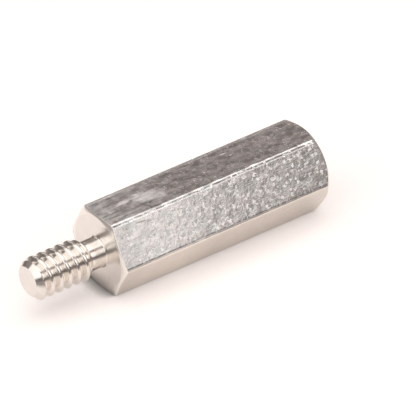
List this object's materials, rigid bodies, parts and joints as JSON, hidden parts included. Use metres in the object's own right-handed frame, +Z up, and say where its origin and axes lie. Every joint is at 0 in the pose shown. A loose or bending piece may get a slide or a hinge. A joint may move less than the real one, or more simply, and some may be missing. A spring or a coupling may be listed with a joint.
{
  "type": "hex standoff spacer",
  "caption": "Male-female hex standoff spacer: a hexagonal metal body with turned chamfers, a threaded stud with a relief neck on its shoulder and a tapped blind hole in its far end.",
  "frame": {"origin": "under the middle of the part's length and width, on the surface that it lies on", "axes": "+X along the axis from the stud to the tapped hole, +Z up from the flat that it lies on"},
  "size_m": [0.0254, 0.0072, 0.0063],
  "materials": {
    "bright_plate": "polished"
  },
  "bodies": {
    "root": {"hex_standoff": "bright_plate"}
  },
  "joints": []
}
